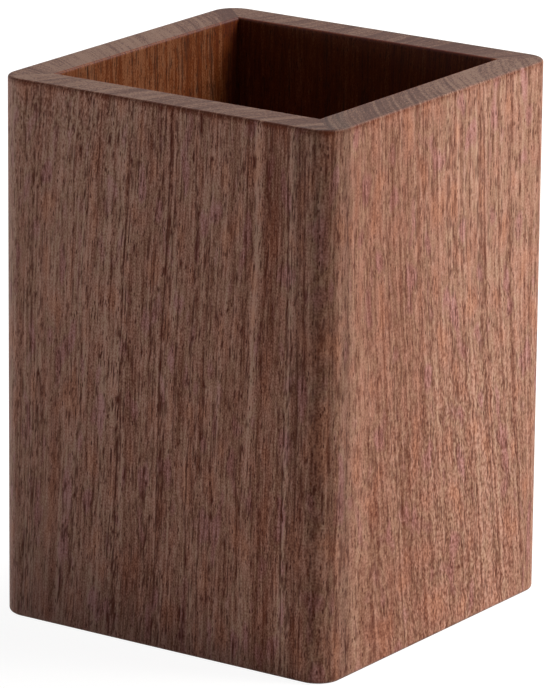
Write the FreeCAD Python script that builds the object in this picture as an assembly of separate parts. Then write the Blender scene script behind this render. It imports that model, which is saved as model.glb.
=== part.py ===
import FreeCAD, Part
import os

# Square pen stand in solid black walnut. Four boards stand with their grain upright and
# are mitred together at the corners. A base panel lies in a groove round their inside.
# The origin is on the desk, under the middle of the stand: +X is to the right of the
# front board, +Y is towards the back and +Z is up. All sizes are in millimetres.

# Overall size of the glued and rounded body
body_width = 75.0
body_depth = 75.0
body_height = 105.0
wall_thickness = 8.0

# Edges that are rounded over and sanded after the glue has set
corner_radius = 5.0
rim_radius = 0.5
foot_radius = 0.8

# Base panel, rebated all round to leave a tongue, and the groove that takes it
panel_thickness = 6.0
tongue_thickness = 3.0
groove_depth = 3.0
panel_side_clearance = 0.3
tongue_top_clearance = 0.1

# How far a cutting shape runs past the wood that it cuts
cut_overrun = 1.0

# Sizes that follow from the ones above
well_width = body_width - 2 * wall_thickness
well_depth = body_depth - 2 * wall_thickness
shoulder_height = panel_thickness - tongue_thickness

up = FreeCAD.Vector(0, 0, 1)
origin = FreeCAD.Vector(0, 0, 0)


def upright_block(width, depth, low, high):
    """A block centred on the upright axis, standing from height low to height high."""
    corner = FreeCAD.Vector(-width / 2, -depth / 2, low)
    return Part.makeBox(width, depth, high - low, corner)


def is_upright(edge):
    """Whether an edge rises more than it runs to the side."""
    box = edge.BoundBox
    return box.ZLength > box.XLength + box.YLength


def middle_height(face):
    """How high the middle of a face lies."""
    return face.CenterOfMass.z


def glued_body():
    """The four boards just after the glue-up, as one square tube, rounded and grooved."""
    blank = upright_block(body_width, body_depth, 0, body_height)
    blank = blank.makeFillet(corner_radius, [edge for edge in blank.Edges if is_upright(edge)])
    well = upright_block(well_width, well_depth, -cut_overrun, body_height + cut_overrun)
    tube = blank.cut(well)
    rim = max(tube.Faces, key=middle_height)
    tube = tube.makeFillet(rim_radius, rim.Edges)
    foot = min(tube.Faces, key=middle_height)
    tube = tube.makeFillet(foot_radius, foot.OuterWire.Edges)
    groove_width = well_width + 2 * groove_depth
    groove_length = well_depth + 2 * groove_depth
    groove_top = panel_thickness + tongue_top_clearance
    return tube.cut(upright_block(groove_width, groove_length, shoulder_height, groove_top))


def mitre_wedge(run, reach, turn):
    """The space that one board fills between its two mitres.

    run is the body's size along the board and reach its size across it, and turn is how
    many degrees the board lies round from the front. Each mitre leaves the body's corner
    at 45 degrees, so the mitres also meet when the body isn't square.
    """
    inward = wall_thickness + cut_overrun
    outer_run = run / 2 + cut_overrun
    outer_reach = reach / 2 + cut_overrun
    inner_run = run / 2 - inward
    inner_reach = reach / 2 - inward
    outline = [
        FreeCAD.Vector(-outer_run, -outer_reach, -cut_overrun),
        FreeCAD.Vector(outer_run, -outer_reach, -cut_overrun),
        FreeCAD.Vector(inner_run, -inner_reach, -cut_overrun),
        FreeCAD.Vector(-inner_run, -inner_reach, -cut_overrun),
    ]
    floor_plan = Part.Face(Part.makePolygon(outline + outline[:1]))
    wedge = floor_plan.extrude(up * (body_height + 2 * cut_overrun))
    wedge.rotate(origin, up, turn)
    return wedge


def mitred_walls():
    """The four boards by name, each parted from the glued body at its mitres."""
    body = glued_body()
    places = {
        "front_wall": (body_width, body_depth, 0),
        "right_wall": (body_depth, body_width, 90),
        "back_wall": (body_width, body_depth, 180),
        "left_wall": (body_depth, body_width, 270),
    }
    return {name: body.common(mitre_wedge(*place)) for name, place in places.items()}


def base_panel():
    """The floor board, with a tongue round its upper edge that rests on the groove."""
    field_width = well_width - 2 * panel_side_clearance
    field_depth = well_depth - 2 * panel_side_clearance
    tongue_width = field_width + 2 * groove_depth
    tongue_depth = field_depth + 2 * groove_depth
    field = upright_block(field_width, field_depth, 0, panel_thickness)
    tongue = upright_block(tongue_width, tongue_depth, shoulder_height, panel_thickness)
    return field.fuse(tongue).removeSplitter()


pieces = mitred_walls()
pieces["base_panel"] = base_panel()

os.makedirs("parts", exist_ok=True)
for name, shape in pieces.items():
    solid = shape.Solids[0]
    solid.exportStep(f"parts/{name}.step")
    print(name, "solids", len(shape.Solids), "valid", solid.isValid(), "volume", round(solid.Volume, 1))
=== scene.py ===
# %% [markdown]
# # A square pen stand in oiled black walnut
# The real stand is a small mitred box with no lid. Four boards stand with their grain
# upright, their ends meet at 45 degrees, and a base panel lies in a groove round the inside.
# The maker rounds the four corners after the glue-up, sands the rim and wipes on one thin
# coat of oil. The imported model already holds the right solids. Here each board is built
# again as a finer mesh in the same place, with the open pores of the wood cut into it, and
# one wood material is laid through all of them.

# %% Load the fixed frame
import math

import bpy
import numpy as np
from mathutils import Matrix, Vector


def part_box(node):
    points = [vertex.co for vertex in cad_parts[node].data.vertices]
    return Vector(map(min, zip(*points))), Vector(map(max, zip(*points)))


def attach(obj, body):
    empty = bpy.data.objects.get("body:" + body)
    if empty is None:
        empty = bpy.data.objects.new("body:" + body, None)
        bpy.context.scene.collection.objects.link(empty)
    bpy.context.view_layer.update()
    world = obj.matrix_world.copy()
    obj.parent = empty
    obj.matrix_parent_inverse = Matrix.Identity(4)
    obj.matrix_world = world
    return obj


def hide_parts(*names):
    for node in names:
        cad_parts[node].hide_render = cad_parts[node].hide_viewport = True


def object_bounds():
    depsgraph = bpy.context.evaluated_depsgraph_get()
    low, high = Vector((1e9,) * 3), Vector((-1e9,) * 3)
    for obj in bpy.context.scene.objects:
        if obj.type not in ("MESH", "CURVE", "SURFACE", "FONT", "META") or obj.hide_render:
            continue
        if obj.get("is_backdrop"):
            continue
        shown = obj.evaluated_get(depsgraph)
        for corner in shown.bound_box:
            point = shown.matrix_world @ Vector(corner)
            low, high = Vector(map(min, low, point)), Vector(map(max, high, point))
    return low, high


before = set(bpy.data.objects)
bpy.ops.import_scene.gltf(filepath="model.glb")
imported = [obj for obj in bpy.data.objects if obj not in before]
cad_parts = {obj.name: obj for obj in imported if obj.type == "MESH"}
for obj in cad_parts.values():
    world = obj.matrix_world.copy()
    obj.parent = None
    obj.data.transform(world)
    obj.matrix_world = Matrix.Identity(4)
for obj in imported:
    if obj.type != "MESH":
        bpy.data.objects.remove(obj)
packed_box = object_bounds()
print("packed nodes:", sorted(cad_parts))

# %% [markdown]
# ## Sizes
# The frame gives what the stand measures outside, how thick the boards are and where the
# base panel ends. The small roundings and the groove can't be read from boxes, so they are
# written here as the sizes that a maker would set on the router and the sanding block.

# %% Read the sizes
mm = 0.001
wall_low, wall_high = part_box("front_wall")
panel_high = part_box("base_panel")[1]

half_width = -wall_low.y
wall_height = wall_high.z
wall_thickness = wall_high.y - wall_low.y
well_half = half_width - wall_thickness
corner_radius = 5.0 * mm
rim_radius = 0.5 * mm
foot_radius = 0.8 * mm
groove_depth = 3.0 * mm
tongue_thickness = 3.0 * mm
tongue_play = 0.1 * mm
panel_play = 0.3 * mm
groove_low = panel_high.z - tongue_thickness
groove_high = panel_high.z + tongue_play
print("stand in mm:", round(2 * half_width / mm, 2), "wide,", round(wall_height / mm, 2), "tall")

# %% [markdown]
# ## Camera
# The photograph was taken from a little over a metre away with a long lens, from the right
# of the front board and slightly above the rim. A camera is easiest to read as a place, a
# point that it aims at and a small roll, so that is how it is written, and the lens is
# given for a 36 mm sensor on the long side of the picture.

# %% Set up the camera
camera_place = Vector((0.5954, -0.8682, 0.3511))
camera_aim = Vector((0.0003, -0.0004, 0.0510))
camera_roll = math.radians(0.563)
camera_lens = 301.5

camera_data = bpy.data.cameras.new("photo_camera")
camera_data.lens = camera_lens
camera_data.sensor_width = 36.0
camera = bpy.data.objects.new("photo_camera", camera_data)
bpy.context.scene.collection.objects.link(camera)
look = (camera_aim - camera_place).to_track_quat("-Z", "Y").to_matrix().to_4x4()
camera.matrix_world = Matrix.Translation(camera_place) @ look @ Matrix.Rotation(camera_roll, 4, "Z")
bpy.context.scene.camera = camera
print("camera stands", round((camera_aim - camera_place).length, 3), "m from its aim")

# %% [markdown]
# ## Two helpers for materials
# Colours are written as the hex values that a paint program shows. Blender computes with
# linear light, so one function turns them. The other adds a node with its own settings and
# fills its sockets with numbers, colours or links.

# %% Define the helpers
def linear(hex_colour):
    """The linear red, green, blue and alpha of an sRGB hex colour such as #8e634f."""
    parts = [int(hex_colour[start:start + 2], 16) / 255 for start in (1, 3, 5)]
    light = [part / 12.92 if part <= 0.04045 else ((part + 0.055) / 1.055) ** 2.4 for part in parts]
    return (*light, 1.0)


def add_node(tree, kind, sockets=None, **settings):
    """Add a node to a tree. A socket gets a value, or a link where the value is an output."""
    node = tree.nodes.new(kind)
    for name, value in settings.items():
        setattr(node, name, value)
    for name, value in (sockets or {}).items():
        if isinstance(value, bpy.types.NodeSocket):
            tree.links.new(value, node.inputs[name])
        else:
            node.inputs[name].default_value = value
    return node


print("half grey is", round(linear("#808080")[0], 3), "in linear light")

# %% [markdown]
# ## One plank, four boards
# All four boards are sawn side by side from one plank, so the figure runs on round the
# corners as it does on the real stand. To paint that, each point of a mesh carries its place
# in the plank before sawing: how far across the plank, how deep under its face and how far
# along the grain, in millimetres. The material reads only that place, so the same rings and
# fibres show on a face, on the rounded corner and as end grain on the rim.
#
# Wood fibres are never quite straight. The grain leans a little to the right on the front
# board and to the left on the right one, and a few slow waves move it as it climbs. At the
# foot of the right board, and a little at the top of the front one, it is curly and ripples.
# The meshes follow it, so the pores cut into them follow it as well.

# %% Describe how the grain wanders
board_turns = {"front_wall": 0, "right_wall": 90, "back_wall": 180, "left_wall": 270}
board_places = {"left_wall": -1, "front_wall": 0, "right_wall": 1, "back_wall": 2}
corner_loss = corner_radius * (1 - math.cos(math.pi / 4))
board_spacing = 2 * (half_width - corner_loss) / mm


def waves(across, along, table):
    """A sum of waves over the plank. Each row has a height, two periods in mm and a phase."""
    total = np.zeros(np.broadcast(across, along).shape)
    for size, across_period, along_period, phase in table:
        turns = across / across_period + along / along_period + phase
        total += size * np.sin(2 * math.pi * turns)
    return total


def curliness(across, along):
    """How curly the grain is, from 0 for straight to 1, over the plank."""
    right_foot = np.exp(-(((across - 80) / 34) ** 2)) * np.clip((80 - along) / 40, 0, 1)
    left_top = 0.6 * np.exp(-(((across + 26) / 14) ** 2)) * np.clip((along - 80) / 20, 0, 1)
    return np.clip(0.06 + right_foot + left_top, 0.0, 1.0)


def grain_shift(across, along):
    """How far the grain lies to the side of a straight line at a point of the plank, in mm."""
    climb = along - wall_height / mm / 2
    places = (-108, -40, -10, 20, 36, 50, 90, 180)
    lean = np.interp(across, places, (0.03, 0.055, 0.05, 0.03, 0.0, -0.09, -0.10, 0.03)) * climb
    bow = np.interp(across, (36, 50, 95, 108), (0, 0.0005, 0.0005, 0)) * climb ** 2
    drift = waves(across, along, [(0.25, 96, 83, 0.10), (0.05, -41, 24, 0.45)])
    ripple = waves(
        across, along, [(0.13, 7.3, 5.4, 0.0), (0.09, -4.1, 7.7, 0.3), (0.05, 2.9, 3.1, 0.6)]
    )
    return lean + bow + drift + ripple * curliness(across, along)


print("boards follow each other every", round(board_spacing, 2), "mm of the plank")

# %% [markdown]
# The growth rings don't stand square to the face, and show as slanting lines on the rim. A
# point's place across the plank is therefore given where the ring through it comes to the
# face. The plank wasn't sawn square to its rings all the way either. Where the saw ran
# flatter to them the pattern is wider and stands out less, so both change across the plank.

# %% Follow the rings to the face
def ring_place(across, depth):
    """Where the growth ring through a point comes to the plank's face, in mm across it."""
    places = (-108, -72, 0, 50, 100, 140, 180)
    lean = np.interp(across, places, (0.6, 0.6, 0.25, 0.9, 0.6, -0.3, 0.4))
    return across - lean * depth - 0.03 * depth ** 2


def boldness(across):
    """How strongly the fibres and pores stand out, which changes with the cut of the plank."""
    places = (-108, -36, -12, 30, 40, 72, 108, 180)
    return np.interp(across, places, (0.85, 0.80, 1.42, 1.25, 0.80, 0.77, 0.77, 0.85))


def fineness(across):
    """How narrow the pattern is. It is wider where the saw ran flatter to the rings."""
    return np.interp(across, (30, 42, 104, 112), (1.0, 0.7, 0.7, 1.0))


def pattern_place(ring):
    """The place across the plank in which the pattern is drawn, from the fineness up to there."""
    steps = np.linspace(-150, 220, 371)
    return np.interp(ring, steps, np.cumsum(fineness(steps)))


print("the pattern of the right board is", round(1 / float(fineness(72)), 2), "times as wide")

# %% [markdown]
# Some groups of rings are darker or lighter than the rest. Each is listed with its place and
# half its width across the plank, the same two along it, and how strong it is. Dark groups
# turn a redder brown. The light streak on the left rounded corner of the front board is a
# painted highlight. The rounded corner that faces the viewer gets painted shade, a grey
# darkening without the red, from its own table. A streak with a half length of 400 mm runs
# all along the board.

# %% List the streaks
all_along = 400
streaks = [
    (-106.0, 3.0, 50, all_along, -0.45),
    (-72.0, 28.0, 50, all_along, 0.26),
    # Painted highlight: this light streak lies on the left rounded corner of the front board.
    (-35.0, 1.4, 50, all_along, 0.30),
    (-29.5, 2.5, 25, 45, 0.28),
    (-22.0, 13.0, 50, all_along, 0.07),
    (-12.5, 3.5, 40, 70, 0.06),
    (-6.0, 1.6, 40, 40, -0.13),
    (2.0, 1.2, 50, all_along, 0.12),
    (4.8, 1.8, 50, all_along, -0.17),
    (-2.5, 1.5, 50, all_along, -0.05),
    (10.0, 1.4, 50, all_along, 0.13),
    (18.2, 1.2, 50, all_along, -0.13),
    (20.2, 1.0, 50, all_along, 0.25),
    (22.2, 0.9, 50, all_along, -0.18),
    (24.5, 2.5, 50, all_along, -0.20),
    (28.4, 0.9, 50, all_along, 0.33),
    (30.4, 1.3, 50, all_along, -0.34),
    (34.0, 1.2, 50, all_along, -0.10),
    (52.0, 1.5, 50, all_along, -0.18),
    (50.0, 10.0, 50, all_along, -0.10),
    (60.0, 3.0, 50, all_along, -0.20),
    (49.5, 2.0, 50, all_along, -0.06),
    (78.0, 3.0, 50, all_along, 0.10),
    (88.0, 9.0, 50, all_along, 0.14),
    (88.0, 1.2, 50, all_along, 0.10),
    (106.0, 8.0, 50, all_along, 0.16),
    (128.0, 16.0, 50, all_along, -0.30),
    (72.0, 34.0, 0, 40, -0.10),
]
# Painted shade: a grey darkening of the rounded corner that faces the viewer.
painted_corner_shade_streaks = [
    (30.4, 1.3, 50, all_along, -0.25),
    (34.0, 1.2, 50, all_along, -0.38),
    (36.4, 1.0, 50, all_along, -0.36),
    (40.0, 2.3, 50, all_along, -0.45),
]
print("streaks:", len(streaks), "and", len(painted_corner_shade_streaks), "dull ones")

# %% [markdown]
# A streak fades out to all sides like a bell curve. Slow waves swell over the whole plank,
# and close, even ones where the saw ran flatter. Everything is added up first and then
# raised to a power, so that light and dark multiply, as layers of pigment do.

# %% Turn streaks and waves into a tone
def streaked(ring, along, table):
    """How much a table of streaks makes the wood lighter, above 1, or darker, below 1."""
    tone = np.zeros(np.broadcast(ring, along).shape)
    for place, half_span, middle, half_length, strength in table:
        off_across = ((ring - place) / half_span) ** 2
        off_along = ((along - middle) / half_length) ** 2
        tone += strength * np.exp(-off_across - off_along)
    return np.exp(tone)


slow_waves = [(0.04, 4.3, 700, 0.2), (0.04, 7.9, -900, 0.6), (0.03, 13.0, 1100, 0.9)]
close_waves = [(0.12, 1.6, 330, 0.1), (0.12, 2.1, -410, 0.5), (0.08, 3.1, 560, 0.3)]


def plank_tone(ring, along):
    """How light the wood is against its mean, from the listed streaks and two sets of waves."""
    flatter_cut = np.interp(ring, (42, 52, 104, 112), (0, 1, 1, 0))
    swell = waves(ring, along, slow_waves) + waves(ring, along, close_waves) * flatter_cut
    return np.exp(swell) * streaked(ring, along, streaks)


print("tone amid the front board:", round(float(plank_tone(np.array(0.0), np.array(50.0))), 2))

# %% [markdown]
# ## The section of a board
# A board could be a box with a bevel, but then its pores would have nothing to be cut into.
# It is built instead as a grid: many upright section lines, each a closed run of points up
# the outer face, over the rim, down the inner face and through the groove, repeated from
# one mitre to the other. The section is drawn once here, as depth under the outer face and
# height over the desk.

# %% Draw the section
skin_step = 0.8 * mm
inner_step = 1.4 * mm
hidden_step = 1.5 * mm
edge_steps = 4
edge_margin = 0.08 * mm


def straight_run(start, end, step):
    """Points (depth, height) from start up to, but not with, end."""
    start, end = np.array(start), np.array(end)
    count = max(1, round(float(np.linalg.norm(end - start)) / step))
    return [tuple(start + (end - start) * index / count) for index in range(count)]


def rounded_edge(centre, radius, start_degrees, end_degrees):
    """Points of a rounded edge, up to but not with its end."""
    angles = [
        math.radians(start_degrees + (end_degrees - start_degrees) * index / edge_steps)
        for index in range(edge_steps)
    ]
    return [(centre[0] + radius * math.cos(a), centre[1] + radius * math.sin(a)) for a in angles]


def margined_run(start, end, step):
    """A straight run with one more point close to each end, so that shading stays flat."""
    start, end = np.array(start), np.array(end)
    inward = (end - start) / np.linalg.norm(end - start) * edge_margin
    near_start, near_end = tuple(start + inward), tuple(end - inward)
    return [tuple(start)] + straight_run(near_start, near_end, step) + [near_end]


rim_low = wall_height - rim_radius
groove_back = wall_thickness - groove_depth
section_parts = {
    "foot_edge": rounded_edge((foot_radius, foot_radius), foot_radius, 270, 180),
    "skin": margined_run((0, foot_radius), (0, rim_low), skin_step),
    "outer_rim_edge": rounded_edge((rim_radius, rim_low), rim_radius, 180, 90),
    "rim": margined_run(
        (rim_radius, wall_height), (wall_thickness - rim_radius, wall_height), skin_step
    ),
    "inner_rim_edge": rounded_edge((wall_thickness - rim_radius, rim_low), rim_radius, 90, 0),
    "inner_face": margined_run(
        (wall_thickness, rim_low), (wall_thickness, groove_high), inner_step
    ),
    "groove_roof": straight_run(
        (wall_thickness, groove_high), (groove_back, groove_high), hidden_step
    ),
    "groove_back": straight_run((groove_back, groove_high), (groove_back, groove_low), hidden_step),
    "groove_floor": straight_run(
        (groove_back, groove_low), (wall_thickness, groove_low), hidden_step
    ),
    "lip": straight_run((wall_thickness, groove_low), (wall_thickness, 0), hidden_step),
    "underside": straight_run((wall_thickness, 0), (foot_radius, 0), hidden_step),
}
section = np.array([point for part in section_parts.values() for point in part])
section_names = np.array([name for name, part in section_parts.items() for _ in part])
print("points in a board's section:", len(section))

# %% [markdown]
# ## From the section to the board
# Near the corners the outer face follows the rounding and the inner face stays flat until
# the mitre. A point's place is found from how far it lies along the outer face and how deep
# it lies: just under the skin it follows the rounding, behind the groove line it lies on
# straight lines parallel to the well, and between these two it is mixed.

# %% Place points on a board
flat_half = half_width - corner_radius
skin_half = flat_half + corner_radius * math.pi / 4
edge_zone = max(rim_radius, foot_radius)


def skin_place(along_skin):
    """The point (x, y) of the outer face and its outward direction, that far along the skin."""
    angle = np.sign(along_skin) * np.clip(np.abs(along_skin) - flat_half, 0, None) / corner_radius
    x = np.clip(along_skin, -flat_half, flat_half) + corner_radius * np.sin(angle)
    y = -half_width + corner_radius * (1 - np.cos(angle))
    return np.stack([x, y], -1), np.stack([np.sin(angle), -np.cos(angle)], -1)


def board_place(along_skin, depth):
    """The point (x, y) of the front board that far along its skin and that deep under it."""
    skin, outward = skin_place(along_skin)
    under_skin = skin - outward * np.minimum(depth, edge_zone)[..., None]
    inner_depth = np.maximum(depth, groove_back)
    inner_half = half_width - inner_depth
    inner = np.stack([along_skin / skin_half * inner_half, -inner_half], -1)
    mix = np.clip((depth - edge_zone) / (groove_back - edge_zone), 0, 1)[..., None]
    return under_skin * (1 - mix) + inner * mix


corner_point = board_place(np.array(skin_half), np.array(0.0))
print("a rounded corner meets its mitre at x", round(float(corner_point[0]) / mm, 2), "mm")

# %% [markdown]
# ## Open pores
# Black walnut is a half ring-porous wood: its vessels are 0.1 to 0.3 mm wide, and a planed
# face cuts them into short dark grooves a few millimetres long, many to the square
# centimetre. Oil doesn't fill them. The larger ones are cut into the mesh itself, as
# tapered dips one to three columns of the grid wide. They crowd in bands, as the vessels of
# one year's ring do. Where the grain is curly they are shorter, and where the saw ran
# flatter to the rings they are shorter too, and more of them are wide. The two columns next
# to each mitre hold none, so that the joint closes cleanly.

# %% Cut pores
column_step = 0.22 * mm
glue_margin = 0.10 * mm
pore_depth = 0.025 * mm
pores_per_square_mm = 0.50
straight_pore_mm = 2.0
curly_pore_mm = 1.2
length_spread = 0.5
crowding_spread = 0.9
crowding_bands = [(0.5, 9.7, 1, 0.3), (0.4, 5.3, 1, 0.8), (0.4, 3.1, 1, 0.1)]
fine_limit = 0.9
wide_share_fine = 0.10
wide_share_broad = 0.35
wide_pore_profile = (1.0, 0.85, 0.6)
openness_range = (0.6, 1.0)

column_count = round(2 * (skin_half - glue_margin) / column_step) + 1
columns = np.linspace(-skin_half + glue_margin, skin_half - glue_margin, column_count)
columns = np.concatenate([[-skin_half], columns, [skin_half]])


def cut_pores(random, heights, across, density):
    """How deep the pores of one face are at each grid point, from 0 to 1. Sizes are in mm."""
    depth = np.zeros(heights.shape)
    low, high = heights.min(), heights.max()
    area = (across[-1] - across[0]) * (high - low)
    bands = waves(across[2:-2], 0, crowding_bands)
    crowding = random.lognormal(0, crowding_spread, len(across) - 4) * np.exp(bands)
    chances = crowding / crowding.sum()
    most = int(area * density * straight_pore_mm / curly_pore_mm)
    for column in random.choice(np.arange(2, len(across) - 2), most, p=chances):
        middle = random.uniform(low, high)
        curl = float(curliness(across[column], middle))
        fine = float(fineness(across[column]))
        usual = straight_pore_mm * fine * (1 - curl) + curly_pore_mm * curl
        wide_share = wide_share_fine if fine > fine_limit else wide_share_broad
        if random.random() > curly_pore_mm / usual:
            continue
        length = usual * random.lognormal(0, length_spread)
        taper = np.clip(1 - (2 * (heights[column] - middle) / length) ** 2, 0, 1)
        openness = random.uniform(*openness_range) * random.uniform(*openness_range, len(taper))
        width = 1 + int(random.random() < wide_share) + int(random.random() < wide_share / 2)
        for step, part in zip(range(width), wide_pore_profile):
            side = min(column + step, len(across) - 3)
            depth[side] = np.maximum(depth[side], part * openness * np.sqrt(taper))
    return depth


print("columns from mitre to mitre:", len(columns))

# %% [markdown]
# ## The boards
# The colours of a board can be laid out as flat pictures, so its squares need places on a flat
# map. Blender can unfold a mesh by itself, but a board is only a few plain areas: the skin,
# the rim, the inside and what is hidden in the groove. Laid out one by one they keep their real
# proportions, and every square gets its even share of the picture.

# %% Lay out the flat map
map_size = 150 * mm
map_gap = 1.2 * mm
lying_cap_low = map_size - 12 * mm
map_rows = {
    "skin": ("foot_edge", "skin", "outer_rim_edge"),
    "rim": ("rim",),
    "inside": ("inner_rim_edge", "inner_face"),
    "hidden": ("groove_roof", "groove_back", "groove_floor", "lip", "underside"),
}
skin_map_height = wall_height + map_gap
rim_map_height = wall_thickness + map_gap
map_corners = {
    "skin": (0, 0),
    "inside": (2 * skin_half + map_gap, 0),
    "rim": (0, skin_map_height),
    "hidden": (0, skin_map_height + rim_map_height),
}


def board_map(section_points):
    """Where each row of squares of a board starts and ends on its flat map, bottom and top."""
    lengths = np.linalg.norm(np.roll(section_points, -1, 0) - section_points, axis=1)
    rows = np.zeros((len(section_points), 3))
    for area, names in map_rows.items():
        chosen = np.isin(section_names, names)
        ends = np.cumsum(lengths[chosen])
        rows[chosen, 0] = map_corners[area][0]
        rows[chosen, 1] = map_corners[area][1] + ends - lengths[chosen]
        rows[chosen, 2] = map_corners[area][1] + ends
    return rows


print("a board's flat map is", round(map_size / mm), "mm square")

# %% [markdown]
# The flat map is filled in the order of the faces: first the squares, row by row of the
# section, then the two mitres, which are laid beside them.

# %% Fill in the flat map
def lay_map(mesh, column_total, row_total):
    """Lay the squares of a board out flat, and its mitres beside them."""
    rows = board_map(section)
    left = np.repeat(columns[:-1, None], row_total, 1) + skin_half
    right = np.repeat(columns[1:, None], row_total, 1) + skin_half
    narrow = np.where(np.isin(section_names, map_rows["inside"]), well_half / skin_half, 1.0)
    u_left, u_right = left * narrow + rows[:, 0], right * narrow + rows[:, 0]
    bottom, top = (np.repeat(rows[None, :, k], column_total - 1, 0) for k in (1, 2))
    corners = np.stack([u_left, bottom, u_right, bottom, u_right, top, u_left, top], -1)
    cap_flat = section * (math.sqrt(2), 1)
    upright_cap = cap_flat + (2 * skin_half + 2 * well_half + 2 * map_gap, 0)
    lying_cap = cap_flat[::-1, ::-1] + (0, lying_cap_low)
    flat_map = np.concatenate([corners.reshape(-1, 2), upright_cap, lying_cap]) / map_size
    layer = mesh.uv_layers.new(name="OFBake")
    layer.uv.foreach_set("vector", flat_map.astype(np.float32).ravel())


print("areas on the map:", list(map_rows))

# %% [markdown]
# A board isn't coloured alike all over. Its ends are end grain, its inner face gets deeper,
# redder colours that paint the shade and bounced light of the well, both edges of the rim get
# painted shade, and a mitre shows a dark hair of glue where the rim is widest open. Each is
# a share from 0 to 1 at every point.

# %% Say where the finish differs
# How far and how strongly the painted shade along the rim edges reaches.
rim_edge_reach_mm = 0.45
rim_edge_darkening = (0.2, 0.6)
glue_on_corner = 0.15


def end_grain_share():
    """How much each point of the section lies on end grain: the rim and the underside."""
    share = np.isin(section_names, ("rim", "underside")).astype(float)
    for name, values in (("outer_rim_edge", (0, 1)), ("foot_edge", (1, 0))):
        share[section_names == name] = np.linspace(*values, edge_steps, endpoint=False)
    return share


# The share of the well, which takes the painted shade and bounced light of the well.
def inside_share():
    """1 on the faces of the well and below, 0 on the outside and the rim."""
    inner_parts = ("inner_rim_edge", "inner_face", "groove_roof", "groove_back", "groove_floor")
    return np.isin(section_names, inner_parts).astype(float)


def painted_rim_edge_shade(random, height):
    """Painted shade: a darker tone along both edges of the rim."""
    gap = np.where(section_names == "skin", (rim_low - height) / mm, 0.0)
    by_rim = np.isin(section_names, ("skin", "outer_rim_edge", "inner_rim_edge"))
    at_edge = np.exp(-((gap / rim_edge_reach_mm) ** 2)) * by_rim
    return 1 - at_edge * random.uniform(*rim_edge_darkening, (len(columns), 1))


def glue_share():
    """How much a mitre shows as a dark line: well on the rim, hardly on the rounded corner."""
    share = np.full(len(section), glue_on_corner)
    on_rim = np.isin(section_names, ("rim", "inner_rim_edge"))
    share[on_rim] = np.clip(section[on_rim, 0] / wall_thickness, glue_on_corner, 1)
    return share


print("points of a section on end grain:", int((end_grain_share() > 0.5).sum()))

# %% [markdown]
# Blender takes a mesh as a list of points and a list of faces. The faces follow from the
# grid alone, so numpy numbers them all at once, and two many-sided faces close the mitres.
# What the material has to know is stored on the points under names of its own. That needs
# no painting, and it stays true however fine the mesh is.

# %% Join points and store what they know
sharp_angle = math.radians(70)


def board_faces(column_total, row_total):
    """The squares between the section lines, then the two mitres."""
    starts = np.arange(column_total - 1)[:, None] * row_total
    first = starts + np.arange(row_total)
    next_row = starts + np.roll(np.arange(row_total), -1)
    squares = np.stack([first, first + row_total, next_row + row_total, next_row], -1)
    left_end = list(range(row_total))
    right_end = [(column_total - 1) * row_total + row for row in reversed(range(row_total))]
    return squares.reshape(-1, 4).tolist() + [left_end, right_end]


def store_values(mesh, plank, values):
    """Store each point's place in the plank, and its other values under their names."""
    layer = mesh.attributes.new("plank_mm", "FLOAT_VECTOR", "POINT")
    layer.data.foreach_set("vector", np.ascontiguousarray(plank, dtype=np.float32).ravel())
    for name, value in values.items():
        layer = mesh.attributes.new(name, "FLOAT", "POINT")
        layer.data.foreach_set("value", np.ascontiguousarray(value, dtype=np.float32).ravel())


def put_in_scene(mesh):
    """Shade a mesh softly, but for its sharp edges, and put it in the scene."""
    mesh.shade_smooth()
    mesh.set_sharp_from_angle(angle=sharp_angle)
    piece = bpy.data.objects.new(mesh.name, mesh)
    bpy.context.scene.collection.objects.link(piece)
    return piece


print("a board has", len(columns), "by", len(section), "points")

# %% [markdown]
# The section lines are laid out first and the pores are marked on them. The rows of points
# are shaken up and down a little, so that no pore shows where a row runs. Only then does the
# grain carry everything to the side, so that pores and fibres lean together. Close to the
# mitres that shift fades out, and the joints stay straight. The board is made as the front
# one and then turned to its own side of the stand.

# %% Build a board
board_seed = 20
pored_faces = (("skin", skin_step, 1.0), ("inner_face", inner_step, 0.8))
row_shake = 0.4
mitre_calm = 12 * mm


def pored_grid(random, offset):
    """How high the points of a board's grid lie, and how deep in a pore, from 0 to 1."""
    height = np.repeat(section[None, :, 1], len(columns), 0)
    shaken = np.zeros(height.shape)
    cut = np.zeros(height.shape)
    for part, step, density in pored_faces:
        rows = np.flatnonzero(section_names == part)
        shake = random.uniform(-row_shake, row_shake, (len(columns) - 4, len(rows) - 4))
        shaken[2:-2, rows[2:-2]] = shake * step
        heights = (height + shaken)[:, rows] / mm
        across = columns / mm + offset
        cut[:, rows] = cut_pores(random, heights, across, density * pores_per_square_mm)
    return height + shaken, cut


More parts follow.
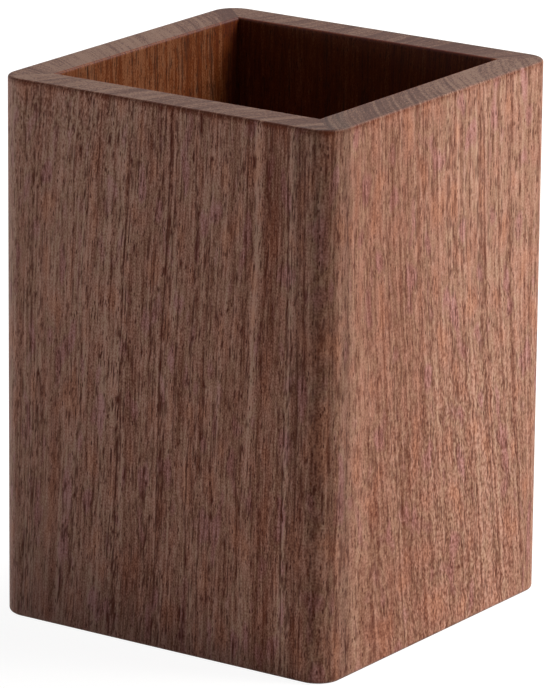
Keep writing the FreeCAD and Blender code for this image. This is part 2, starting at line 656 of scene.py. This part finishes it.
def build_board(name):
    """One upright board of the stand, as a fine closed mesh in its own place."""
    random = np.random.default_rng(board_seed + board_places[name])
    offset = board_places[name] * board_spacing
    height, cut = pored_grid(random, offset)
    along = height / mm
    along_skin = np.repeat(columns[:, None], len(section), 1)
    depth = np.repeat(section[None, :, 0], len(columns), 0)

    straight = board_place(along_skin, depth)
    under_face = (straight[..., 1] + half_width) / mm
    ring = ring_place(straight[..., 0] / mm + offset, under_face)
    held = np.clip((skin_half - np.abs(along_skin)) / mitre_calm, 0, 1)
    moved = np.clip(along_skin + grain_shift(ring, along) * held * mm, -skin_half, skin_half)
    outward = skin_place(moved)[1]
    outward[:, section_names == "inner_face"] = (0, 1)
    place = board_place(moved, depth) - outward * (cut * pore_depth)[..., None]
    points = np.concatenate([place, height[..., None]], -1).reshape(-1, 3)
    turn = np.array(Matrix.Rotation(math.radians(board_turns[name]), 3, "Z"))

    mesh = bpy.data.meshes.new(name + "_oiled")
    mesh.from_pydata(points @ turn.T, [], board_faces(len(columns), len(section)))
    glue = np.zeros(height.shape)
    glue[[0, -1]] = glue_share()
    values = {
        # The tone also carries the painted shade along both edges of the rim.
        "tone": plank_tone(ring, along) * painted_rim_edge_shade(random, height),
        "painted_corner_shade": streaked(ring, along, painted_corner_shade_streaks),
        "pore": cut,
        "curl": curliness(ring, along),
        "boldness": boldness(ring),
        "glue": glue,
        "end_grain": np.repeat(end_grain_share()[None], len(columns), 0),
        "inside": np.repeat(inside_share()[None], len(columns), 0),
    }
    store_values(mesh, np.stack([pattern_place(ring), under_face, along], -1), values)
    lay_map(mesh, len(columns), len(section))
    return put_in_scene(mesh)


print("grain moves freely", round(mitre_calm / mm), "mm and more from a mitre")

# %% [markdown]
# ## The base panel
# The panel is a square of the same wood with a step cut round its underside, so that a thin
# tongue is left at the top. The tongue slides into the groove before the last corner is
# glued, and nothing else holds it, so the panel can swell and shrink. Its grain lies level,
# from left to right. Two grids make its top face and its underside, and loops of points are
# stacked between them, so the mesh is closed and its top face can carry pores.

# %% Draw the base panel
panel_seed = 31
panel_cells = 160
panel_edge = 0.3 * mm
panel_skin = 400
panel_pores_per_square_mm = pores_per_square_mm * 0.6
panel_half = panel_high.x
field_half = well_half - panel_play
panel_loops = [
    (panel_half, panel_high.z - panel_edge),
    (panel_half, groove_low),
    (field_half, groove_low),
    (field_half, panel_edge),
]


def grid_border():
    """The grid places round the edge of the panel, once round."""
    side, last = range(panel_cells + 1), panel_cells
    first_half = [(i, 0) for i in side[:-1]] + [(last, j) for j in side[:-1]]
    return first_half + [(i, last) for i in side[:0:-1]] + [(0, j) for j in side[:0:-1]]


def panel_points(border):
    """The points of the panel and, for its top face, how deep in a pore they are."""
    random = np.random.default_rng(panel_seed)
    share = np.linspace(-1, 1, panel_cells + 1)
    x_grid, y_grid = np.meshgrid(share, share, indexing="ij")
    cut = np.zeros(x_grid.shape)
    along = (x_grid[2:-2] * panel_half / mm).T
    across = share * panel_half / mm
    cut[2:-2] = cut_pores(random, along, across, panel_pores_per_square_mm).T
    top_half, under_half = panel_half - panel_edge, field_half - panel_edge
    top_height = panel_high.z - cut * pore_depth
    top = np.stack([x_grid * top_half, y_grid * top_half, top_height], -1)
    under = np.stack([x_grid * under_half, y_grid * under_half, 0 * x_grid], -1)
    ring = np.array([(share[i], share[j]) for i, j in border])
    loops = [
        np.column_stack([ring * reach, np.full(len(ring), level)]) for reach, level in panel_loops
    ]
    return np.concatenate([top.reshape(-1, 3), under.reshape(-1, 3)] + loops), cut.ravel()


print("squares on the panel's top face:", panel_cells ** 2)

# %% [markdown]
# The faces are numbered in the same order: the top, the underside turned over, and then a
# band of squares from each loop to the next one down.

# %% Build the base panel
def panel_faces(border):
    """The squares of both faces of the panel, and the bands round its sides."""
    grid_total = (panel_cells + 1) ** 2
    grid = np.arange(grid_total).reshape(panel_cells + 1, panel_cells + 1)
    low, high = grid[:-1], grid[1:]
    flat = np.stack([low[:, :-1], high[:, :-1], high[:, 1:], low[:, 1:]], -1).reshape(-1, 4)
    top_loop = np.array([grid[i, j] for i, j in border])
    loop_starts = [2 * grid_total + len(border) * k for k in range(len(panel_loops))]
    chain = [top_loop] + [start + np.arange(len(border)) for start in loop_starts]
    chain.append(grid_total + top_loop)
    faces = flat.tolist() + (grid_total + flat[:, ::-1]).tolist()
    for upper, lower in zip(chain, chain[1:]):
        faces += np.stack([upper, lower, np.roll(lower, -1), np.roll(upper, -1)], -1).tolist()
    return faces


def build_panel():
    """The base panel with its tongue, as a closed mesh in its own place."""
    border = grid_border()
    points, cut = panel_points(border)
    mesh = bpy.data.meshes.new("base_panel_oiled")
    mesh.from_pydata(points, [], panel_faces(border))
    under_top = (panel_high.z - points[:, 2]) / mm
    plank = np.stack([points[:, 1] / mm + panel_skin, under_top, points[:, 0] / mm], -1)
    values = {
        "tone": plank_tone(plank[:, 0], plank[:, 2]),
        "painted_corner_shade": np.ones(len(points)),
        "pore": np.concatenate([cut, np.zeros(len(points) - len(cut))]),
        "boldness": np.ones(len(points)),
        "inside": (points[:, 2] > groove_low).astype(float),
    }
    store_values(mesh, plank, values)
    return put_in_scene(mesh)


print("loops between the panel's two faces:", len(panel_loops))

# %% [markdown]
# ## The five pieces
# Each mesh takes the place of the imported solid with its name. The stand has no moving part,
# so all five ride on the root, and all are made of the same wood.

# %% Make the five pieces
pieces = {name: build_board(name) for name in board_turns}
pieces["base_panel"] = build_panel()
for name, piece in pieces.items():
    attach(piece, "root")
    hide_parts(name)
    print(name, "points", len(piece.data.vertices), "faces", len(piece.data.polygons))

# %% [markdown]
# ## Black walnut
# Fresh heartwood of black walnut is a cool brown with purple and grey streaks, and a thin
# oil makes it warmer and deeper. The eye sees four things at four scales: growth rings a few
# millimetres apart, long streaks of light and dark wood, fibres finer than half a
# millimetre, and the dark open pores. A picture of wood could be laid on each face, but it
# would break at every corner, so the pattern is worked out at each point of the plank.
#
# A mix node has sockets of the same name for numbers, vectors and colours, so the ones for
# colours are picked by their number.

# %% Start the wood material
wood = bpy.data.materials.new("black_walnut_oiled")
wood.use_nodes = True
tree = wood.node_tree
tree.nodes.clear()
mix_factor, mix_a, mix_b, mix_result = 0, 6, 7, 2

plank = add_node(tree, "ShaderNodeAttribute", attribute_name="plank_mm").outputs["Vector"]


def stretched(across_mm, depth_mm, along_mm):
    """The place in the plank, measured in one pattern's own width, depth and length."""
    scale = (1 / across_mm, 1 / depth_mm, 1 / along_mm)
    return add_node(
        tree, "ShaderNodeVectorMath", {0: plank, 1: scale}, operation="MULTIPLY"
    ).outputs["Vector"]


# %% [markdown]
# How light or dark the wood is comes in layers. Each layer is a noise with a width, a depth
# and a length in millimetres, and a spread that says how far it goes up and down. The first
# three reach deep into the plank and show on the rim as lines. The others are bundles of
# fibres, which end on the rim as fine dots. The real fibres are 0.02 mm wide, too fine for
# any picture of the whole stand, so they are drawn as bundles of 0.2 mm and more. Where the
# grain is curly the fibres dive in and out of the face, and it shows short flecks as well.

# %% Rings, streaks and fibres
ring_layers = [
    (4.0, 40.0, 150.0, 1.0, 0.07),
    (1.4, 20.0, 70.0, 1.0, 0.15),
    (0.6, 12.0, 20.0, 0.0, 0.18),
]
fibre_layers = [
    (0.36, 0.36, 4.5, 0.0, 0.16),
    (0.26, 0.26, 1.4, 0.0, 0.13),
    (0.20, 0.20, 0.40, 0.0, 0.22),
]
fleck_layers = [(0.35, 0.35, 0.80, 0.0, 0.40)]


def layered(shade, layers):
    """A shade, multiplied by each layer of a table."""
    for across_mm, depth_mm, along_mm, detail, spread in layers:
        noise = add_node(
            tree,
            "ShaderNodeTexNoise",
            {"Vector": stretched(across_mm, depth_mm, along_mm), "Scale": 1.0, "Detail": detail},
        ).outputs["Fac"]
        limits = {"From Min": 0.3, "From Max": 0.7, "To Min": 1 - spread, "To Max": 1 + spread}
        layer = add_node(tree, "ShaderNodeMapRange", {"Value": noise, **limits}).outputs["Result"]
        shade = add_node(
            tree, "ShaderNodeMath", {0: shade, 1: layer}, operation="MULTIPLY"
        ).outputs["Value"]
    return shade


tone = add_node(tree, "ShaderNodeAttribute", attribute_name="tone").outputs["Fac"]
ring_shade = layered(1.0, ring_layers)
toned = add_node(
    tree, "ShaderNodeMath", {0: tone, 1: ring_shade}, operation="MULTIPLY"
).outputs["Value"]
straight_shade = layered(toned, fibre_layers)
curl = add_node(tree, "ShaderNodeAttribute", attribute_name="curl").outputs["Fac"]
curled = layered(1.0, fleck_layers)
fleck = add_node(tree, "ShaderNodeMath", {0: curled, 1: curl}, operation="POWER").outputs["Value"]
flecked = add_node(
    tree, "ShaderNodeMath", {0: straight_shade, 1: fleck}, operation="MULTIPLY"
).outputs["Value"]
boldness_here = add_node(tree, "ShaderNodeAttribute", attribute_name="boldness").outputs["Fac"]
fibre_shade = add_node(
    tree, "ShaderNodeMath", {0: flecked, 1: boldness_here}, operation="POWER"
).outputs["Value"]
print("layers of light and dark:", len(ring_layers) + len(fibre_layers))

# %% [markdown]
# The shade then picks the colour. Dark fibres are full of pigment and oil and are a strong
# red brown, and light ones are a greyish tan, so a ramp of three colours says more than one
# colour made darker. A thin wash of violet, green and orange follows in soft patches, where
# the pigment in the wood changes. The well has three deeper and redder colours of its own,
# which paint its shade and the red light bounced round inside it.

# %% Colour of the wood
half_shade = add_node(
    tree, "ShaderNodeMath", {0: fibre_shade, 1: 0.5}, operation="MULTIPLY"
).outputs["Value"]
fibre_colour = add_node(tree, "ShaderNodeValToRGB", {"Fac": half_shade})
ramp = fibre_colour.color_ramp
ramp.elements[0].position = 0.20
ramp.elements[0].color = linear("#60290b")
ramp.elements[1].position = 0.80
ramp.elements[1].color = linear("#be9382")
ramp.elements.new(0.50).color = linear("#a27362")

patch_noise = add_node(
    tree, "ShaderNodeTexNoise", {"Vector": stretched(3.4, 8.0, 10.0), "Scale": 1.0, "Detail": 1.5}
).outputs["Fac"]
patch_colour = add_node(tree, "ShaderNodeValToRGB", {"Fac": patch_noise})
ramp = patch_colour.color_ramp
ramp.elements[0].position = 0.34
ramp.elements[0].color = linear("#f6ecfb")
ramp.elements[1].position = 0.66
ramp.elements[1].color = linear("#fff5e6")
ramp.elements.new(0.44).color = linear("#eff6ea")
ramp.elements.new(0.56).color = linear("#faf8f4")
washed = add_node(
    tree,
    "ShaderNodeMix",
    {mix_factor: 1.0, mix_a: fibre_colour.outputs["Color"], mix_b: patch_colour.outputs["Color"]},
    data_type="RGBA",
    blend_type="MULTIPLY",
).outputs[mix_result]
# Painted shade and bounced light of the well: a deeper, redder ramp.
painted_well_shade_colour = add_node(tree, "ShaderNodeValToRGB", {"Fac": half_shade})
ramp = painted_well_shade_colour.color_ramp
ramp.elements[0].position = 0.25
ramp.elements[0].color = linear("#3e0d00")
ramp.elements[1].position = 0.75
ramp.elements[1].color = linear("#805136")
ramp.elements.new(0.50).color = linear("#622d09")
inside = add_node(tree, "ShaderNodeAttribute", attribute_name="inside").outputs["Fac"]
coloured = add_node(
    tree,
    "ShaderNodeMix",
    {mix_factor: inside, mix_a: washed, mix_b: painted_well_shade_colour.outputs["Color"]},
    data_type="RGBA",
).outputs[mix_result]
print("nodes in the wood so far:", len(tree.nodes))

# %% [markdown]
# The pores that are too small for the mesh are stretched cells: only the middle of a cell is
# dark. Cells give short dashes with ends, as small vessels are, where a noise would only give
# blurred specks. Pores are darker where the pattern is bold, and darkest in the well, which is
# painted shade.

# %% Small pores between the cut ones
small_pore_cell = add_node(
    tree, "ShaderNodeTexVoronoi", {"Vector": stretched(0.55, 0.55, 2.6), "Scale": 1.0}, feature="F1"
).outputs["Distance"]
small_pore = add_node(
    tree,
    "ShaderNodeMapRange",
    {"Value": small_pore_cell, "From Min": 0.13, "From Max": 0.23, "To Min": 0.8, "To Max": 0.0},
).outputs["Result"]
cut_pore = add_node(tree, "ShaderNodeAttribute", attribute_name="pore").outputs["Fac"]
any_pore = add_node(
    tree, "ShaderNodeMath", {0: small_pore, 1: cut_pore}, operation="MAXIMUM"
).outputs["Value"]
pore_darkness = add_node(
    tree,
    "ShaderNodeMapRange",
    {"Value": boldness_here, "From Min": 0.77, "From Max": 1.42, "To Min": 1.0, "To Max": 1.4},
).outputs["Result"]
pore_share = add_node(
    tree, "ShaderNodeMath", {0: any_pore, 1: pore_darkness}, operation="MULTIPLY"
).outputs["Value"]
# Pores in the well get a darker colour, which is painted shade.
pore_colour = add_node(
    tree,
    "ShaderNodeMix",
    {mix_factor: inside, mix_a: linear("#4a1805"), mix_b: linear("#200b04")},
    data_type="RGBA",
).outputs[mix_result]
pored = add_node(
    tree,
    "ShaderNodeMix",
    {mix_factor: pore_share, mix_a: coloured, mix_b: pore_colour},
    data_type="RGBA",
).outputs[mix_result]
print("nodes with the pores:", len(tree.nodes))

# %% [markdown]
# End grain drinks the oil and turns darkest. Rings and fibre ends show on it as fine lines
# and dots, from a reddish dark to a greyish light, and the pores are sanded shut. Painted
# shade on the near corner lies over all of that, and the glue of a mitre is a hair of dark brown.

# %% End grain and glue lines
end_grain = add_node(tree, "ShaderNodeAttribute", attribute_name="end_grain").outputs["Fac"]
half_end = add_node(
    tree, "ShaderNodeMath", {0: straight_shade, 1: 0.5}, operation="MULTIPLY"
).outputs["Value"]
end_colour = add_node(tree, "ShaderNodeValToRGB", {"Fac": half_end})
ramp = end_colour.color_ramp
ramp.elements[0].position = 0.34
ramp.elements[0].color = linear("#35160a")
ramp.elements[1].position = 0.66
ramp.elements[1].color = linear("#6c5245")
ramp.elements.new(0.50).color = linear("#523529")
ended = add_node(
    tree,
    "ShaderNodeMix",
    {mix_factor: end_grain, mix_a: pored, mix_b: end_colour.outputs["Color"]},
    data_type="RGBA",
).outputs[mix_result]
# Painted shade on the near rounded corner, as a grey darkening of the colour.
painted_corner_shade = add_node(tree, "ShaderNodeAttribute", attribute_name="painted_corner_shade").outputs["Fac"]
with_painted_corner_shade = add_node(
    tree,
    "ShaderNodeMix",
    {mix_factor: 1.0, mix_a: ended, mix_b: painted_corner_shade},
    data_type="RGBA",
    blend_type="MULTIPLY",
).outputs[mix_result]
glue = add_node(tree, "ShaderNodeAttribute", attribute_name="glue").outputs["Fac"]
glued = add_node(
    tree,
    "ShaderNodeMix",
    {mix_factor: glue, mix_a: with_painted_corner_shade, mix_b: linear("#2c1912")},
    data_type="RGBA",
).outputs[mix_result]
print("nodes with the end grain and glue:", len(tree.nodes))

# %% [markdown]
# One thin coat of oil builds no film and fills no pore, so the wood stays nearly matt. Its
# sheen is weak and wide, and weaker still in the pores. A very small bump, no deeper than
# sanding leaves it, lets the fibres catch the light.

# %% Surface of the oiled wood
relief = add_node(
    tree, "ShaderNodeMath", {0: fibre_shade, 1: any_pore}, operation="SUBTRACT"
).outputs["Value"]
bump = add_node(
    tree, "ShaderNodeBump", {"Strength": 0.2, "Distance": 0.02 * mm, "Height": relief}
).outputs["Normal"]
roughness = add_node(
    tree,
    "ShaderNodeMapRange",
    {"Value": any_pore, "From Min": 0.0, "From Max": 1.0, "To Min": 0.58, "To Max": 0.8},
).outputs["Result"]
surface = add_node(
    tree,
    "ShaderNodeBsdfPrincipled",
    {
        "Base Color": glued,
        "Roughness": roughness,
        "IOR": 1.5,
        "Specular IOR Level": 0.15,
        "Normal": bump,
    },
)
add_node(tree, "ShaderNodeOutputMaterial", {"Surface": surface.outputs["BSDF"]})
for piece in pieces.values():
    piece.data.materials.append(wood)
print("the wood is on", len(pieces), "pieces")

# %% [markdown]
# ## Floor and light
# The photograph was made on a white sweep. One broad soft lamp stands behind the object on
# the right and rakes the right board. The front board gets only what the floor sends back
# and a weak fill from a low white card on the left, so no light reaches far into the well.

# %% Floor
floor_half = 4.0
floor_mesh = bpy.data.meshes.new("floor")
floor_drop = -0.05 * mm
floor_mesh.from_pydata(
    [(x * floor_half, y * floor_half, floor_drop) for x, y in ((-1, -1), (1, -1), (1, 1), (-1, 1))],
    [],
    [(0, 1, 2, 3)],
)
floor = bpy.data.objects.new("floor", floor_mesh)
bpy.context.scene.collection.objects.link(floor)
floor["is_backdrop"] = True


def seen_directly(tree):
    """1 where the surface is seen, also in a reflection, and 0 where it only lends light."""
    path = add_node(tree, "ShaderNodeLightPath")
    either = add_node(
        tree,
        "ShaderNodeMath",
        {0: path.outputs["Is Camera Ray"], 1: path.outputs["Is Glossy Ray"]},
        operation="MAXIMUM",
    )
    return add_node(
        tree,
        "ShaderNodeMath",
        {0: either.outputs["Value"], 1: path.outputs["Is Transmission Ray"]},
        operation="MAXIMUM",
    ).outputs["Value"]


paper = bpy.data.materials.new("white_sweep")
paper.use_nodes = True
paper_tree = paper.node_tree
paper_tree.nodes.clear()
lending = add_node(paper_tree, "ShaderNodeBsdfDiffuse", {"Color": linear("#f5f5f5")})
shaded = add_node(paper_tree, "ShaderNodeBsdfDiffuse", {"Color": linear("#8c8c8c")})
glow = add_node(paper_tree, "ShaderNodeEmission", {"Color": linear("#ffffff"), "Strength": 0.92})
shown = add_node(
    paper_tree, "ShaderNodeAddShader", {0: shaded.outputs["BSDF"], 1: glow.outputs["Emission"]}
)
paper_mix = add_node(
    paper_tree,
    "ShaderNodeMixShader",
    {0: seen_directly(paper_tree), 1: lending.outputs["BSDF"], 2: shown.outputs["Shader"]},
)
add_node(paper_tree, "ShaderNodeOutputMaterial", {"Surface": paper_mix.outputs["Shader"]})
floor.data.materials.append(paper)
print("the sweep is", 2 * floor_half, "m square")

# %% [markdown]
# The lamp is a large soft box, close to white, and the card sends back a little cool light.
# The room lends hardly any light, but it looks white behind the stand, as the sweep does.

# %% Lamps and world
def soft_box(name, turn, rise, distance, width, height, watts, colour):
    """A soft lamp that faces the stand. turn is degrees round from +X towards +Y."""
    lamp = bpy.data.lights.new(name, "AREA")
    lamp.color = linear(colour)[:3]
    lamp.shape = "RECTANGLE"
    lamp.size = width
    lamp.size_y = height
    lamp.energy = watts
    holder = bpy.data.objects.new(name, lamp)
    turn, rise = math.radians(turn), math.radians(rise)
    level = math.cos(rise)
    direction = Vector((math.cos(turn) * level, math.sin(turn) * level, math.sin(rise)))
    aim = Vector((0, 0, wall_height / 2))
    holder.location = aim + direction * distance
    holder.rotation_euler = (-direction).to_track_quat("-Z", "Y").to_euler()
    holder.visible_camera = False
    bpy.context.scene.collection.objects.link(holder)


soft_box(
    "window_behind_right",
    turn=52, rise=46, distance=0.8, width=0.9, height=0.5, watts=12.9, colour="#fffcf6",
)
soft_box(
    "card_left",
    turn=213, rise=4, distance=1.5, width=1.4, height=0.2, watts=4.0, colour="#dfe9ff",
)

world = bpy.data.worlds.new("studio")
world.use_nodes = True
bpy.context.scene.world = world
world.node_tree.nodes.clear()
room_strength = add_node(
    world.node_tree,
    "ShaderNodeMapRange",
    {"Value": seen_directly(world.node_tree), "To Min": 0.045, "To Max": 1.0},
).outputs["Result"]
room = add_node(
    world.node_tree, "ShaderNodeBackground", {"Color": linear("#ffffff"), "Strength": room_strength}
)
add_node(world.node_tree, "ShaderNodeOutputWorld", {"Surface": room.outputs["Background"]})
bpy.context.scene.view_settings.view_transform = "Standard"
print("lamps:", [lamp.name for lamp in bpy.data.lights])

# %% [markdown]
# ## Compare the boxes
# The finer meshes have to fill the same box as the imported solids. Both boxes are compared
# corner by corner, and the largest difference is printed.

# %% Compare the sizes
boxes = {"packed": packed_box, "visual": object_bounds()}
gaps = [
    abs(was - now)
    for packed_corner, visual_corner in zip(boxes["packed"], boxes["visual"])
    for was, now in zip(packed_corner, visual_corner)
]
print("largest difference between the boxes:", round(max(gaps) / mm, 3), "mm")
